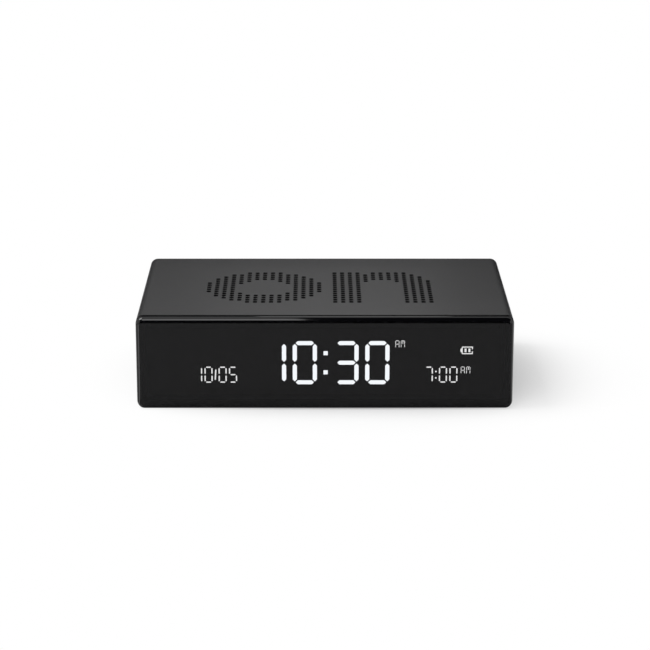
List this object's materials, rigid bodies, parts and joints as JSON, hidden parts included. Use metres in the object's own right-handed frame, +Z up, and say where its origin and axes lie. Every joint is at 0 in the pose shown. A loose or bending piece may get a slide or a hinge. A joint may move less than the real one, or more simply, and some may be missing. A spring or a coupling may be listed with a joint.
{
  "type": "flip alarm clock",
  "caption": "Flat block alarm clock with a lit segment display in its front edge. Turning it over onto its other face arms or silences the alarm.",
  "frame": {"origin": "centre of the flat face that the clock stands on", "axes": "+X to the right as seen from the front, +Y from the display to the back, +Z up through the on face"},
  "size_m": [0.115, 0.072, 0.0293],
  "materials": {
    "satin_shell": "fine satin moulding",
    "smoked_lens": "polished",
    "seam_rubber": "matte",
    "dark_moulding": "fine texture",
    "button_moulding": "satin",
    "lcd_glass": "smooth",
    "clear_acrylic": "polished",
    "white_film": "matte",
    "lamp_strip": "matte",
    "flex_film": "smooth",
    "circuit_board": "solder mask",
    "dark_component": "moulded",
    "ivory_component": "moulded",
    "bright_steel": "plated",
    "black_steel": "blackened",
    "brass": "bright",
    "copper_foil": "rolled",
    "grey_foam": "open foam",
    "cell_pouch": "foil pouch",
    "red_sleeving": "smooth",
    "black_sleeving": "smooth"
  },
  "bodies": {
    "housing": {"body_sleeve": "satin_shell", "front_lens": "smoked_lens", "seam_gasket": "seam_rubber", "rear_cover": "dark_moulding", "chassis": "dark_moulding", "display_frame": "dark_moulding", "lcd_panel": "lcd_glass", "light_guide": "clear_acrylic", "reflector_sheet": "white_film", "backlight_strip_left": "lamp_strip", "backlight_strip_right": "lamp_strip", "display_flex": "flex_film", "main_board": "circuit_board", "mcu_chip": "dark_component", "filter_capacitor": "dark_component", "buzzer_case": "dark_component", "port_tongue": "dark_component", "tilt_switch_base": "dark_component", "time_switch_base": "dark_component", "alarm_switch_base": "dark_component", "minus_switch_base": "dark_component", "plus_switch_base": "dark_component", "flex_socket": "ivory_component", "battery_plug": "ivory_component", "battery_header": "ivory_component", "port_shell": "bright_steel", "tilt_switch_can": "bright_steel", "touch_spring": "bright_steel", "quartz_crystal": "bright_steel", "display_screw_left": "bright_steel", "display_screw_right": "bright_steel", "board_screw_1": "bright_steel", "board_screw_2": "bright_steel", "board_screw_3": "bright_steel", "board_screw_4": "bright_steel", "cover_screw_1": "black_steel", "cover_screw_2": "black_steel", "cover_screw_3": "black_steel", "cover_screw_4": "black_steel", "buzzer_disc": "brass", "touch_foil": "copper_foil", "battery_foam": "grey_foam", "battery_cell": "cell_pouch", "battery_lead_red": "red_sleeving", "battery_lead_black": "black_sleeving"},
    "time_button": {"time_button": "button_moulding", "time_switch_plunger": "ivory_component"},
    "alarm_button": {"alarm_button": "button_moulding", "alarm_switch_plunger": "ivory_component"},
    "minus_button": {"minus_button": "button_moulding", "minus_switch_plunger": "ivory_component"},
    "plus_button": {"plus_button": "button_moulding", "plus_switch_plunger": "ivory_component"},
    "tilt_ball": {"tilt_switch_ball": "brass"}
  },
  "joints": [
    {"name": "time_button_press", "type": "slide", "parent": "housing", "child": "time_button", "axis": [0, -1, 0], "range_m": [0, 0.0004], "stiffness_N_per_m": 200},
    {"name": "alarm_button_press", "type": "slide", "parent": "housing", "child": "alarm_button", "axis": [0, -1, 0], "range_m": [0, 0.0004], "stiffness_N_per_m": 200},
    {"name": "minus_button_press", "type": "slide", "parent": "housing", "child": "minus_button", "axis": [0, -1, 0], "range_m": [0, 0.0004], "stiffness_N_per_m": 200},
    {"name": "plus_button_press", "type": "slide", "parent": "housing", "child": "plus_button", "axis": [0, -1, 0], "range_m": [0, 0.0004], "stiffness_N_per_m": 200},
    {"name": "tilt_ball_drop", "type": "slide", "parent": "housing", "child": "tilt_ball", "axis": [0, 0, 1], "range_m": [0, 0.0026]}
  ]
}
